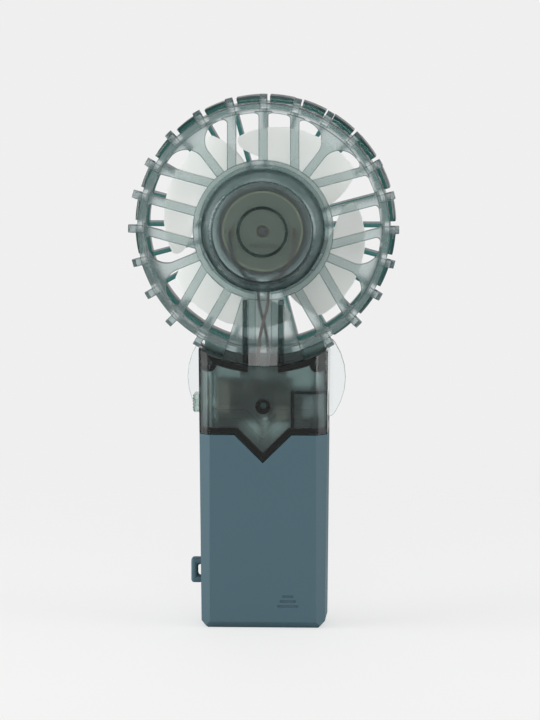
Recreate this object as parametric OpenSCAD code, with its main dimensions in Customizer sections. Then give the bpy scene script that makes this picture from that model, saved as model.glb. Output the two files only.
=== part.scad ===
// Hand-held rechargeable mini fan that stands on its foot.
// Millimetres, +Z up. The origin is the middle of the foot, the motor cap looks towards -Y
// and the air leaves towards +Y.

/* [Handle] */
// Width of the handle at the shoulders
handle_w = 39.2; // [37:0.1:44]
// Width of the handle at the foot
foot_w = 37.4; // [36.5:0.1:39.8]
// Depth of the handle, back to front
handle_d = 23; // [21:0.5:27]
// Bevel along the upright edges
edge_bevel = 3.5; // [2:0.1:5]
// Bevel round the foot
foot_bevel = 2; // [1:0.1:3]
// Width of the chevron in the joint
chevron_w = 17.2; // [12:0.2:22]
// Drop of the chevron's point below the joint
chevron_drop = 8.5; // [5:0.5:9.5]
// Wall of the sleeve
sleeve_wall = 1.8; // [1.4:0.1:2.4]
// Floor of the sleeve
sleeve_floor = 2.2; // [1.6:0.1:3]
// Parting line between sleeve and housing
joint_gap = 0.2; // [0.1:0.05:0.4]

/* [Lanyard eye] */
// Height of the eye's middle above the foot
eye_z = 16.2; // [12:0.2:30]
// Height of the eye
eye_h = 7.6; // [6.5:0.1:11]
// Reach of the eye from the sleeve
eye_reach = 3.4; // [3:0.1:5]
// Thickness of the eye's bar
eye_bar = 2; // [1.4:0.1:2.4]
// Depth of the eye, back to front
eye_d = 4.4; // [3:0.1:6]

/* [Neck housing] */
// Side walls
housing_wall = 1.5; // [1.2:0.1:2]
// Back and front walls
housing_face = 1.8; // [1.4:0.1:2.2]
// Floor along the chevron
housing_floor = 2; // [1.4:0.1:2.6]
// Curved wall under the head
saddle_wall = 2; // [1.4:0.1:2.4]
// Gap from the rim fins to the saddle
saddle_gap = 0.4; // [0.3:0.1:1]
// Gap where the two halves meet
split_gap = 0.1; // [0.05:0.05:0.3]
// Radius of the rear screw bosses
boss_r = 2.3; // [2:0.1:2.6]
// Radius of the front screw bosses
front_boss_r = 2.9; // [2.6:0.1:3.2]
// Distance of the upper screws from the sides
boss_inset = 3.2; // [3:0.1:4.5]
// Height of the lower screw above the joint
boss_rise = 8.5; // [8:0.5:10]
// Width of a decorative groove
groove_w = 1.5; // [0.8:0.1:2]
// Spacing of the decorative grooves
groove_pitch = 2.85; // [2.4:0.05:3.2]
// Half length of the decorative grooves
groove_reach = 14.2; // [11:0.2:15]
// Depth of the decorative grooves
groove_d = 0.35; // [0.2:0.05:0.6]
// Length of the tongues that locate the housing in the sleeve
tongue_l = 5; // [3:0.5:6]
// Thickness of those tongues
tongue_t = 1.2; // [0.8:0.1:1.6]

/* [Head] */
// Outside radius of the drum
drum_r = 38.1; // [35:0.1:42]
// Wall of the drum
drum_wall = 1.4; // [1:0.1:1.8]
// Depth of the drum
drum_d = 12.9; // [11.5:0.1:14]
// Width of the rim round the rear grille
rim_w = 2.7; // [2:0.1:3.4]
// Thickness of the rim between the fins
rim_t = 1.1; // [0.8:0.1:1.8]
// Places for a fin round the rim
fin_places = 24; // [24]
// Height of a fin over the drum
fin_h = 2.8; // [2.2:0.1:3.6]
// Width of a fin
fin_w = 2.2; // [1.6:0.1:2.6]
// Set-back of the fins from the back of the grille
fin_back = 0.9; // [0.8:0.1:1.5]
// Bevel at the tip of a fin
fin_bevel = 1.2; // [0.5:0.1:1.6]
// Length of a fin, back to front
fin_l = 4.6; // [3:0.1:6]
// Set-back of the rear grille from the back of the handle
grille_inset = 2; // [1.6:0.1:3]
// Thickness of the rear grille
grille_t = 2.4; // [1.8:0.1:2.8]
// Width of a rib
rib_w = 2.7; // [2:0.1:3.2]
// Radius where a forked rib runs into the rim
flare_r = 6; // [4:0.5:8]
// Radius where another rib runs into the rim
fillet_r = 1.2; // [0.5:0.1:1.5]
// Inside radius of the middle ring
seat_r = 18.7; // [17:0.1:20]
// Width of the middle ring
middle_w = 2.5; // [2:0.1:3.5]
// Wall of the tube behind the middle ring
seat_wall = 0.9; // [0.7:0.1:1.4]

/* [Stem and neck block] */
// Width of the stem with its cover
stem_w = 12.1; // [11.5:0.1:13]
// Depth of the stem
stem_d = 3.7; // [3.5:0.1:4]
// Side walls of the wire cover
cover_wall = 1.3; // [1:0.1:1.4]
// Floor of the wire cover
cover_t = 0.7; // [0.6:0.1:0.8]
// Rise of the wire cover behind the grille
cover_rise = 0.6; // [0:0.1:1]
// Back wall of the stem
stem_back_t = 1.2; // [0.8:0.1:1.2]
// Width of the wire channel
channel_w = 4.8; // [4.4:0.1:5.4]
// Width of the rails beside the wire channel
rail_w = 1.6; // [0.8:0.1:1.8]
// Height of those rails
rail_h = 0.9; // [0.4:0.1:1.4]
// Half angle of the neck block
neck_angle = 17.5; // [15:0.5:20]
// Width of the neck tongue in the saddle
neck_w = 8.8; // [7.8:0.1:10]
// Width of the flange that holds the neck tongue
flange_w = 14; // [12:0.5:16]
// Thickness of that flange
flange_t = 1.7; // [1.2:0.1:2]

/* [Front guard] */
// Set-back of the front ring's blocks from the fin tips
ring_step = 1.45; // [0.3:0.05:2]
// Step of the front ring inside the drum
ring_in = 1.4; // [0.8:0.1:2]
// How far the drum plugs into the front ring
ring_lap = 2; // [1.5:0.1:3]
// Thickness of the ring between the blocks
ring_base = 1.2; // [0.8:0.1:1.3]
// Bevel of the ring's blocks
ring_bevel = 0.7; // [0.3:0.1:1]
// Width of the notch for a fin
notch_w = 2.9; // [2.7:0.1:3.4]
// Width of a spoke
spoke_w = 1.2; // [0.9:0.1:1.6]
// Radius of the front middle
front_mid_r = 14; // [13:0.5:16]
// Wall of the front middle
front_mid_wall = 1.5; // [1.2:0.1:2]
// Radius of the badge disc
badge_r = 11.5; // [9:0.5:12]
// Thickness of the badge disc
badge_t = 1.2; // [0.8:0.1:1.6]
// Depth of the seat of the badge disc
badge_seat = 0.4; // [0.2:0.1:0.6]

/* [Motor cap] */
// Rise of the cap behind the grille
cap_rise = 6; // [5.5:0.1:7]
// Wall of the cap
cap_wall = 1.4; // [1:0.1:1.6]
// Taper of the cap, from its seat to its flat
cap_taper = 2.25; // [1.5:0.05:2.6]
// Height of the ring that holds the motor
cap_ring_h = 2; // [1.6:0.1:2.4]
// Middle radius of that ring
cap_ring_r = 7.3; // [6:0.1:8]
// Width of that ring
cap_ring_w = 0.9; // [0.6:0.1:1.2]
// Width of a clip
clip_w = 5.6; // [4:0.1:6.5]
// Height of a clip
clip_h = 0.55; // [0.4:0.05:0.7]

/* [Motor] */
// Radius of the motor can
motor_r = 12.2; // [11.6:0.1:12.6]
// Length of the motor can
motor_l = 12.4; // [11.6:0.1:12.6]
// Sheet of the motor can
can_t = 0.8; // [0.5:0.1:1]
// Radius of the motor's front boss
motor_boss_r = 3; // [2.6:0.1:3.4]
// Length of the motor's front boss
motor_boss_l = 1.7; // [1.4:0.1:2]
// Radius of the shaft
shaft_r = 1; // [0.75:0.05:1.15]
// Wall of a bush
bush_t = 0.8; // [0.6:0.05:1]
// Wall of the pot that holds the motor
pot_wall = 1.2; // [0.9:0.1:1.5]
// Thickness of the end cap
end_cap_t = 1.8; // [1.4:0.1:2]
// Radius of the armature
armature_r = 8.7; // [8:0.1:9]
// Air gap from armature to magnets
air_gap = 0.6; // [0.4:0.1:0.8]

/* [Impeller] */
// Gap from the blade tips to the drum
tip_gap = 4.6; // [3:0.1:9]
// Number of blades
blades = 4; // [3:1:5]
// Rise of a blade, back to front
blade_rise = 7.8; // [6:0.1:8]
// Thickness of a blade
blade_t = 1.2; // [0.8:0.1:1.4]
// Angle that a blade covers at its root
blade_angle = 64; // [45:1:68]
// Sweep of the trailing edge from root to tip
blade_sweep = 12.5; // [5:0.5:20]
// Angle by which the leading tip hooks forward
blade_hook = 26.5; // [10:0.5:30]
// Fall of the outer edge towards the leading tip
blade_drop = 3.5; // [1:0.1:4]
// Round of the trailing corner
trail_round = 2.2; // [1:0.1:3.5]
// Round of the leading tip
lead_round = 1.2; // [0.6:0.1:2]
// Wall of the hub
hub_wall = 1.2; // [0.9:0.1:1.6]
// Thickness of the hub's front
hub_t = 1.4; // [1:0.1:1.8]
// Radius of the hub's boss
hub_boss_r = 3; // [2.4:0.1:4]
// Length of the hub's boss
hub_boss_l = 3.6; // [3:0.1:4]

/* [Switch] */
// Height of the knob's middle above the joint, at rest
knob_rise = 8.5; // [7.5:0.1:9]
// Height of the knob
knob_h = 5.5; // [4.5:0.1:6]
// Depth of the knob, back to front
knob_d = 6; // [5:0.1:7]
// Thickness of the knob
knob_t = 2; // [1.8:0.1:2.6]
// Ridges across the knob
knob_ridges = 5; // [3:1:6]
// Depth of the ridges
ridge_d = 0.35; // [0.2:0.05:0.5]
// Travel of the knob
knob_travel = 4; // [2:0.5:4]
// Depth of the lever, back to front
lever_d = 1.6; // [1.2:0.1:1.8]
// Height of the lever
lever_h = 2; // [1.4:0.1:2.4]
// Reach of the lever into the knob
lever_in = 1.2; // [0.8:0.1:1.4]
// Height of the slider inside the frame
slider_h = 4.2; // [3.2:0.1:4.4]
// Sheet of the switch frame
frame_t = 0.5; // [0.3:0.1:0.6]
// Width of the switch frame
frame_w = 4; // [3.5:0.1:4.5]
// Depth of the switch frame
frame_d = 3.4; // [3:0.1:3.6]

/* [Board and socket] */
// Width of the circuit board under the switch and the motor wires
board_w = 23; // [22:0.2:25]
// Reach of the circuit board to the left of the middle
board_left = 14.5; // [14:0.1:15.5]
// Height of the board's tab under the charging socket
tab_h = 9.4; // [8.6:0.1:10]
// Height of the circuit board
board_h = 13.6; // [12.5:0.1:13.8]
// Thickness of the circuit board
board_t = 1.2; // [0.8:0.1:1.6]
// Room over the circuit board
board_room = 2.8; // [2:0.1:5]
// Width of the charging socket
socket_w = 8.94; // [8.6:0.02:9.2]
// Thickness of the charging socket
socket_t = 3.2; // [3:0.05:3.4]
// Length of the charging socket
socket_l = 7.4; // [6.5:0.1:8]
// Sheet of the charging socket
socket_sheet = 0.3; // [0.2:0.05:0.4]
// Height of the socket's middle above the joint
socket_rise = 7.4; // [7.2:0.1:8]
// Thickness of the contact tongue
contact_t = 0.7; // [0.6:0.05:0.8]
// Width of the contact tongue
contact_w = 6.6; // [6:0.1:6.8]
// Thickness of the chamber ribs
chamber_rib = 1; // [0.7:0.1:1.2]
// Width of the chamber round the socket
chamber_w = 11; // [10:0.1:12]

/* [Battery] */
// Width of the cell
cell_w = 30; // [26:0.5:31]
// Height of the cell
cell_h = 40; // [34:0.5:40.5]
// Thickness of the cell
cell_t = 10; // [8:0.5:11]
// Round of the cell's edges
cell_round = 3; // [1.5:0.1:3.5]
// Height of the small board on the cell
cell_board_h = 4; // [3:0.1:4]
// Thickness of the small board on the cell
cell_board_t = 1; // [0.6:0.1:1.2]
// Room for the leads between that board and the chevron's point
lead_room = 4.4; // [3:0.1:8]
// Diameter of a wire
wire_d = 1; // [0.7:0.05:1]

/* [Screws] */
// Radius of a screw's thread
screw_r = 0.95; // [0.75:0.05:1]
// Length of a screw under its head
screw_l = 15; // [12:0.5:15.5]
// Radius of a screw's head
head_r = 1.7; // [1.5:0.05:1.8]
// Height of a screw's head
head_h = 1.3; // [1:0.1:1.4]

/* [Front plate] */
// Width of the clear plate
plate_w = 48.2; // [44:0.2:54]
// Height of the clear plate
plate_h = 24; // [20:0.5:28]
// Thickness of the clear plate
plate_t = 1.5; // [1:0.1:2]
// Radius of the plate's sides
plate_side_r = 19.5; // [16:0.5:22]
// Radius of the plate's corners
plate_corner_r = 2; // [1:0.5:4]
// Height of the plate's lower edge above the joint
plate_rise = 2.7; // [1:0.1:5]

/* [Clearances] */
// Gap round parts that are fixed in each other
fit_gap = 0.15; // [0.1:0.05:0.25]
// Gap round the sliding knob and slider
slide_gap = 0.25; // [0.2:0.05:0.35]
// Gap round the turning impeller
run_gap = 1; // [0.8:0.1:1.2]
// Gap between shaft and bush
bush_gap = 0.03; // [0.02:0.01:0.05]

/* [Hidden] */
$fn = 96;

// Overlap of shapes that are joined into one piece
bite = 0.5;
// Reach of a cut past the piece that it cuts
past = 40;
// How far a hollow corner runs into the walls that it joins
tuck = 0.05;

// Radii of the head
rim_in_r = drum_r - rim_w;
fin_r = drum_r + fin_h;
ring_r = fin_r - ring_step;
ring_in_r = drum_r - drum_wall - ring_in;
ring_base_r = ring_in_r + ring_base;
blade_r = drum_r - drum_wall - tip_gap;
middle_r = seat_r + middle_w;
saddle_r = max(fin_r, ring_r) + saddle_gap;

// Heights: the sleeve clears the cell, the housing clears the board and the head sits in the housing
cell_top = sleeve_floor + cell_h;
joint_z = cell_top + cell_board_h + lead_room + chevron_drop;
board_z0 = joint_z + housing_floor + 2 * fit_gap;
saddle_low = board_z0 + board_h + board_room;
axis_z = saddle_low + saddle_wall + saddle_r;
shoulder_z = axis_z - sqrt(pow(saddle_r, 2) - pow(handle_w / 2, 2));
knob_z = joint_z + knob_rise;
socket_z = joint_z + socket_rise;

// Directions round the fan axis
stem_angle = 270;
fin_step = 360 / fin_places;
spoke_angles = [for (k = [0:fin_places - 1]) k * fin_step];
fin_angles = [for (a = spoke_angles) if (abs(a - stem_angle) > 1.5 * fin_step) a];

// Depth, back to front
face_y = handle_d / 2;
inner_y = face_y - housing_face;
grille_back = grille_inset - face_y;
grille_front = grille_back + grille_t;
stem_front = grille_back + stem_d;
web_back = stem_front + fit_gap;
web_t = 1;
web_front = web_back + web_t;
drum_front = grille_back + drum_d;
ring_back = drum_front + fit_gap;
head_front = face_y - 2 * fit_gap;
drum_back = grille_front + fit_gap;
neck_front = -2 * split_gap;

// Handle
function half_w(z) = (foot_w + (handle_w - foot_w) * z / shoulder_z) / 2;
sleeve_in = half_w(foot_bevel) - sleeve_wall;
housing_in = half_w(joint_z) - housing_wall;
mark_x = 7.6;
mark_z = 6.8;
mark_w = 6.4;
mark_h = 0.7;
mark_round = 0.34;
mark_pitch = 1.5;

// Chevron joint, raised square to itself by t
chevron_slope = 2 * chevron_drop / chevron_w;
chevron_skew = sqrt(1 + pow(chevron_slope, 2));
function chevron_x(t) = (chevron_drop + t - t * chevron_skew) / chevron_slope;
function chevron_tip(t) = joint_z - chevron_drop + t * chevron_skew;

// Rear grille: directions of the triple ribs, and of the forked ribs between them
triple_ribs = [15, 90, 165];
double_ribs = [[240, [-1, 0]], [300, [0, 1]]];
forked_ribs = [52.5, 127.5, 202.5, 337.5];
clip_angles = [90, 210, 330];
clip_low = 0.6;
clip_l = 1.2;
rim_mid_r = (rim_in_r + drum_r) / 2;
rib_pitch = rim_mid_r * sin(fin_step);
drum_in_r = drum_r - drum_wall;
plug_r = drum_r - drum_wall / 2;
cover_low = axis_z - saddle_r + 1;
cover_high = axis_z - middle_r - fit_gap;
cover_back = grille_back - cover_rise;
cover_front = stem_front + cover_t + fit_gap;
ring_lip = 0.8;

// Motor, from the cap forwards
cap_back = grille_back - cap_rise;
cap_r = seat_r - fit_gap;
cap_face_r = cap_r - cap_taper;
cap_front = web_back - fit_gap;
motor_back = cap_back + cap_wall + cap_ring_h;
motor_front = motor_back + motor_l;
can_in_r = motor_r - can_t;
pot_in_r = motor_r + fit_gap;
pot_r = pot_in_r + pot_wall;
pot_back = motor_back + end_cap_t;
pot_front = motor_front + pot_wall;
boss_front = motor_front + motor_boss_l;
bush_r = shaft_r + bush_gap + bush_t;
magnet_back = motor_back + end_cap_t + run_gap;
magnet_front = motor_front - can_t - run_gap / 2;
armature_back = magnet_back + run_gap;
armature_front = magnet_front - run_gap;
commutator_back = motor_back + end_cap_t + fit_gap;
commutator_front = armature_back;
pole_angles = [30, 150, 270];
pole_w = 2.6;
shoe_t = 1;
shoe_angle = 48;
magnet_half_angle = 62;
magnet_angles = [0, 180];
core_r = 2.6;
winding_t = 1.1;
winding_in_r = core_r + winding_t + fit_gap;
winding_out_r = armature_r - shoe_t - run_gap / 2;
terminal_x = 9;
terminal_t = 0.4;
terminal_w = 2.4;
terminal_out = 1.2;
vent_w = 8;
vent_h = 1.3;
vent_z = 4.4;
vent_d = 1.1;

// Impeller
hub_back = boss_front + 0.8 * run_gap;
hub_front = hub_back + hub_t;
hub_end = hub_front + hub_boss_l;
hub_in_r = pot_r + 0.8 * run_gap;
hub_r = hub_in_r + hub_wall;
hub_rear = web_front + run_gap;
shaft_short = 0.4;
shaft_end = hub_end - shaft_short;
blade_back = web_front + run_gap;
blade_front = blade_back + blade_rise;
blade_root_r = hub_in_r + hub_wall / 2;
blade_phase = 16.5;
blade_camber = 0.7;
hook_span = 0.6;
hook_power = 2.5;
spoke_back = max(blade_front, hub_front) + run_gap;

// Housing fittings
boss_x = handle_w / 2 - boss_inset;
boss_ring_r = saddle_r + boss_r + 2 * fit_gap;
boss_z = axis_z - sqrt(pow(boss_ring_r, 2) - pow(boss_x, 2));
low_boss_z = joint_z + boss_rise;
screw_places = [[-boss_x, boss_z], [boss_x, boss_z], [0, low_boss_z]];
head_seat = face_y - head_h - 2 * fit_gap;
groove_inset = 3.7;
collar_x = handle_w / 2 - housing_wall;
lead_hole_r = 2.2;
lead_hole_y = 5.5;

// Board, socket and switch
board_back = socket_t / 2;
board_front = board_back + board_t;
socket_end = half_w(socket_z) - 2 * fit_gap;
chamber_x = half_w(socket_z) - chamber_w;
chamber_top = socket_z + socket_w / 2 + chamber_rib + 2 * slide_gap;
lever_y = board_back - frame_d / 2;
frame_x = board_left;
frame_mid_z = knob_z + knob_travel / 2;
frame_h = slider_h + knob_travel + 2 * slide_gap + 2 * frame_t;
slot_low = knob_z - lever_h / 2 - slide_gap;
slot_high = knob_z + knob_travel + lever_h / 2 + slide_gap;
knob_in_x = half_w(knob_z + knob_travel + knob_h / 2) + slide_gap;
lever_end_x = knob_in_x + lever_in;

// Foam beside the battery
pad_back = cell_t / 2 + fit_gap;
pad_front = handle_d / 2 - sleeve_wall - fit_gap;

// Routes of the wires that the housings hold, as points of X, Y and a height.
// On the motor and the stem the height counts down from the fan axis, then up from the board.
// Between them the wires follow a lane between the motor's pot and the cap.
lane_r = (pot_r + cap_r - cap_wall) / 2;
function lane(x, y) = [x, y, sqrt(pow(lane_r, 2) - pow(x, 2))];
red_stem = [
    [9.8, -13, -0.6], [9.8, -12.9, 5], [8.6, -12.9, 8.6], [7, -11.9, 11.2], lane(5, -10.6), lane(2, -8.4),
    [1.6, -7.7, seat_r - 1.7], [1.6, -7.6, seat_r + 0.3], [1.4, -7.6, 23], [0, -7.6, 28], [-1.2, -7.6, 33]
];
red_neck = [
    [-1.5, -7.6, 19.7], [-1.6, -7.6, 14.3], [-2.4, -6.6, 12.1], [-4, -3.6, 10.3],
    [-4.6, -0.4, 9.9], [-4.6, 0.5, 9.9]
];
black_stem = [
    [-9.8, -13, -0.6], [-9.8, -12.9, 5], [-8.6, -12.9, 8.6], [-7, -11.9, 11.2], lane(-5, -10.4),
    lane(-2, -7.6), [-1.6, -6.6, seat_r - 1.7], [-1.6, -6.4, seat_r + 0.3], [-1.4, -6.4, 23],
    [0, -6.4, 28], [1.2, -6.4, 33]
];
black_neck = [
    [1.5, -6.4, 19.7], [1.6, -6.4, 14.3], [2.6, -5.6, 12.1], [4.4, -3, 10.3], [5, -0.4, 9.9], [5, 0.5, 9.9]
];
// On the cell the height counts up from the cell, then from the joint
lead_cell = [[5, 1.2, 0.8], [5, 1.2, 3.4], [4, 2, 4.8], [2.2, 4, 5.8], [1, 5.4, 7.2]];
lead_joint = [[0.9, 5.5, -6], [0.9, 5.5, -1], [1.4, 4.9, 1], [2.8, 3.7, 2.6], [3.4, 3.5, 3.6]];
function under(z, points) = [for (p = points) [p[0], p[1], z - p[2]]];
function over(z, points) = [for (p = points) [p[0], p[1], z + p[2]]];
red_route = concat(under(axis_z, red_stem), over(board_z0, red_neck));
black_route = concat(under(axis_z, black_stem), over(board_z0, black_neck));
lead_route = concat(over(cell_top, lead_cell), over(joint_z, lead_joint));
solder_r = 0.9;
solder_h = 0.8;
lead_pad_z = 2.4;

// Parts on the board: places from its middle and lower edge, and sizes
upper_chips = [-10, 9.6];
lower_chips = [3.4, 6.6];
chip_size = [0.9, 1.7];
chip_pitch = 1.7;
chip_h = 0.9;
coil_at = [3.2, 1];
coil_size = [4.2, 4.2];
coil_h = 2.4;
control_at = [-9.2, 2.4];
control_size = [5, 4];
control_h = 1.4;
leg_w = 0.4;
leg_l = 0.8;
leg_h = 0.5;
leg_pitch = 1.25;
led_at = [-0.8, 0.6];
led_size = [1.6, 1.2];
led_h = 0.8;

// Extrudes an outline in X and Z between two depths
module slab(y0, y1) {
    translate([0, y1, 0]) rotate([90, 0, 0]) linear_extrude(y1 - y0) children();
}

// Extrudes an outline in Y and Z between two places along X
module across(x0, x1) {
    translate([x0, 0, 0]) rotate([90, 0, 90]) linear_extrude(x1 - x0) children();
}

// Turns an outline of radius and depth about the fan axis
module turned() {
    translate([0, 0, axis_z]) rotate([-90, 0, 0]) rotate_extrude() children();
}

// Outline of radial bars from r0 to r1, one at each angle
module rays(angles, r0, r1, w) {
    for (a = angles) rotate(a) translate([r0, -w / 2]) square([r1 - r0, w]);
}

// Extrudes an outline about the fan axis between two depths
module disc(y0, y1) {
    slab(y0, y1) translate([0, axis_z]) children();
}

// A plain rod along the fan axis
module rod(r, y0, y1) {
    translate([0, y0, axis_z]) rotate([-90, 0, 0]) cylinder(r = r, h = y1 - y0);
}

// A plain rod along Y at a place in X and Z
module peg(place, r, y0, y1) {
    translate([place[0], y0, place[1]]) rotate([-90, 0, 0]) cylinder(r = r, h = y1 - y0);
}

// Rectangle in radius and depth
module band(r0, r1, y0, y1) {
    translate([r0, y0]) square([r1 - r0, y1 - y0]);
}

// Upright box from corner to corner
module block(low, high) {
    translate(low) cube(high - low);
}

module round_rect(w, h, r) {
    square([w - 2 * r, h], center = true);
    square([w, h - 2 * r], center = true);
    for (x = [-1, 1], y = [-1, 1]) {
        translate([x * (w / 2 - r), y * (h / 2 - r)]) circle(r);
    }
}

module octagon(w, d, bevel) {
    polygon([
        [w / 2 - bevel, -d / 2], [w / 2, bevel - d / 2], [w / 2, d / 2 - bevel], [w / 2 - bevel, d / 2],
        [bevel - w / 2, d / 2], [-w / 2, d / 2 - bevel], [-w / 2, bevel - d / 2], [bevel - w / 2, -d / 2]
    ]);
}

// Tube of eight sides swept along a list of points
function unit(v) = v / norm(v);
function heading(p, i) = unit(p[min(i + 1, len(p) - 1)] - p[max(i - 1, 0)]);
function hoop(p, i, r, n) =
    let (t = heading(p, i), u = unit(cross(t, [0.6, 0.5, 0.1])), v = cross(t, u))
    [for (k = [0:n - 1]) p[i] + r * (cos(360 * k / n) * u + sin(360 * k / n) * v)];

module tube(p, d) {
    n = 8;
    last = (len(p) - 1) * n;
    points = [for (i = [0:len(p) - 1]) each hoop(p, i, d / 2, n)];
    sides = [
        for (i = [0:len(p) - 2], k = [0:n - 1])
            let (a = i * n + k, b = i * n + (k + 1) % n)
            each [[a, b + n, b], [a, a + n, b + n]]
    ];
    polyhedron(points, concat(
        sides,
        [[for (k = [0:n - 1]) k]],
        [[for (k = [n - 1:-1:0]) last + k]]
    ));
}

// Whole handle before it is parted, straight above the foot's bevels
module handle_solid() {
    intersection() {
        slab(-face_y, face_y) polygon([
            [foot_bevel - foot_w / 2, 0], [foot_w / 2 - foot_bevel, 0],
            [half_w(foot_bevel), foot_bevel], [handle_w / 2, shoulder_z],
            [-handle_w / 2, shoulder_z], [-half_w(foot_bevel), foot_bevel]
        ]);
        across(-handle_w, handle_w) polygon([
            [foot_bevel - face_y, 0], [face_y - foot_bevel, 0], [face_y, foot_bevel],
            [face_y, shoulder_z], [-face_y, shoulder_z], [-face_y, foot_bevel]
        ]);
        linear_extrude(shoulder_z) octagon(handle_w, handle_d, edge_bevel);
    }
}

// Outline of what lies over the chevron joint, raised by t
module over_joint(t) {
    polygon([
        [-past, joint_z + t], [-chevron_x(t), joint_z + t], [0, chevron_tip(t)],
        [chevron_x(t), joint_z + t], [past, joint_z + t], [past, axis_z], [-past, axis_z]
    ]);
}

// Outline of the stadium-shaped socket in Y and Z
module stadium(t, h) {
    translate([0, socket_z]) {
        square([t, h - t], center = true);
        for (s = [-1, 1]) translate([0, s * (h - t) / 2]) circle(t / 2);
    }
}

module handle_sleeve() {
    color("#4e6870") difference() {
        handle_solid();
        slab(-past, past) over_joint(-joint_gap / 2);
        translate([0, 0, sleeve_floor]) linear_extrude(axis_z) {
            octagon(2 * sleeve_in, handle_d - 2 * sleeve_wall, edge_bevel - sleeve_wall / 2);
        }
        for (s = [-1, 1]) eye_arm(s, fit_gap);
        // Plain mark of three short bars on the back
        for (k = [0:2]) {
            slab(-past, groove_d - face_y) translate([mark_x, mark_z + k * mark_pitch]) {
                round_rect(mark_w - k * mark_pitch, mark_h, mark_round);
            }
        }
    }
}

// One arm of the lanyard eye, from inside the sleeve's wall to the eye's bar
module eye_arm(side, gap) {
    z = eye_z + side * (eye_h - eye_bar) / 2;
    block(
        [-half_w(eye_z) - (gap > 0 ? past : eye_reach - bite), -eye_d / 2 - gap, z - eye_bar / 2 - gap],
        [-sleeve_in - (gap > 0 ? -bite : fit_gap), eye_d / 2 + gap, z + eye_bar / 2 + gap]
    );
}

module lanyard_eye() {
    out = half_w(eye_z) + eye_reach;
    color("#4e6870") intersection() {
        union() {
            for (s = [-1, 1]) eye_arm(s, 0);
            block(
                [-out, -eye_d / 2, eye_z - eye_h / 2],
                [eye_bar - out, eye_d / 2, eye_z + eye_h / 2]
            );
        }
        slab(-past, past) translate([eye_h / 2 - out, eye_z]) {
            round_rect(2 * eye_h, eye_h, eye_bar);
            translate([-eye_h / 2 + eye_bar, -eye_h / 2]) square([past, eye_h]);
        }
    }
}

// Outer form of the neck housing, and the room inside it
module housing_form() {
    difference() {
        intersection() {
            handle_solid();
            slab(-past, past) over_joint(joint_gap / 2);
        }
        rod(saddle_r, -past, past);
    }
}

module housing_room() {
    difference() {
        intersection() {
            linear_extrude(axis_z) round_rect(2 * housing_in, 2 * inner_y, edge_bevel);
            slab(-past, past) over_joint(housing_floor);
        }
        rod(saddle_r + saddle_wall, -past, past);
    }
}

// One half of the housing's shell: back is -1, front is 1
module housing_half(side) {
    intersection() {
        difference() {
            housing_form();
            housing_room();
        }
        slab(side < 0 ? -past : split_gap / 2, side < 0 ? -split_gap / 2 : past) {
            square([4 * past, 8 * past], center = true);
        }
    }
}

// Tongues that reach down into the sleeve
module sleeve_tongues(side) {
    x1 = sleeve_in - fit_gap;
    y = side * face_y / 3;
    reach = face_y / 4;
    for (s = [-1, 1]) {
        block(
            [s < 0 ? -x1 : x1 - tongue_t, y - reach, joint_z - tongue_l],
            [s < 0 ? tongue_t - x1 : x1, y + reach, joint_z + housing_floor / 2]
        );
    }
}

// Openings in the sides for the switch lever and the charging socket
module side_openings() {
    block(
        [-past, lever_y - lever_d / 2 - slide_gap, slot_low],
        [-housing_in + bite, lever_y + lever_d / 2 + slide_gap, slot_high]
    );
    across(housing_in - bite, past) stadium(socket_t + 2 * slide_gap, socket_w + 2 * slide_gap);
}

// One chevron groove, number k from the top
module groove(k) {
    z = low_boss_z - k * groove_pitch;
    bend = chevron_w / 2 - groove_inset + k * groove_pitch * tan(22.5);
    slant = bend * sqrt(2);
    for (s = [-1, 1]) {
        translate([s > 0 ? bend : -groove_reach, z - groove_w / 2]) {
            square([groove_reach - bend, groove_w]);
        }
        translate([s * groove_reach, z]) circle(groove_w / 2);
        translate([s * bend, z]) circle(groove_w / 2);
        translate([0, z - bend]) rotate(s > 0 ? 45 : 135) {
            translate([0, -groove_w / 2]) square([slant, groove_w]);
        }
    }
    translate([0, z - bend]) circle(groove_w / 2);
}

module housing_rear() {
    pilot_r = screw_r + fit_gap / 3;
    color("#6f837e") difference() {
        union() {
            housing_half(-1);
            sleeve_tongues(-1);
            intersection() {
                housing_form();
                union() {
                    for (k = [0, 1]) peg(screw_places[k], boss_r, -inner_y - bite, -split_gap / 2);
                    peg(screw_places[2], boss_r, -inner_y - bite, board_back);
                    // Chamber round the charging socket
                    block(
                        [chamber_x, -inner_y - bite, chamber_top - chamber_rib],
                        [housing_in + bite, -split_gap / 2, chamber_top]
                    );
                    block(
                        [chamber_x, -inner_y - bite, joint_z + housing_floor / 2],
                        [chamber_x + chamber_rib, -split_gap / 2, chamber_top]
                    );
                }
            }
        }
        for (place = screw_places) peg(place, pilot_r, head_seat - screw_l - run_gap, past);
        side_openings();
        neck_slot();
        slab(-past, groove_d - face_y) for (k = [0:2]) groove(k);
    }
}

// Slot in the saddle for the neck tongue
module neck_slot() {
    block(
        [-neck_w / 2 - fit_gap, -inner_y, saddle_low - bite],
        [neck_w / 2 + fit_gap, split_gap, axis_z - saddle_r + past]
    );
}

module housing_front() {
    hole_r = screw_r + fit_gap;
    color("#6f837e") difference() {
        union() {
            housing_half(1);
            sleeve_tongues(1);
            intersection() {
                housing_form();
                union() {
                    for (k = [0, 1]) peg(screw_places[k], front_boss_r, split_gap / 2, inner_y + bite);
                    peg(screw_places[2], front_boss_r, board_front, inner_y + bite);
                }
            }
            drum_collar();
        }
        for (place = screw_places) {
            peg(place, hole_r, -past, past);
            peg(place, head_r + fit_gap, head_seat, past);
        }
        side_openings();
        translate([0, lead_hole_y, joint_z - chevron_drop - bite]) {
            cylinder(r = lead_hole_r, h = chevron_drop);
        }
    }
}

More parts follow.
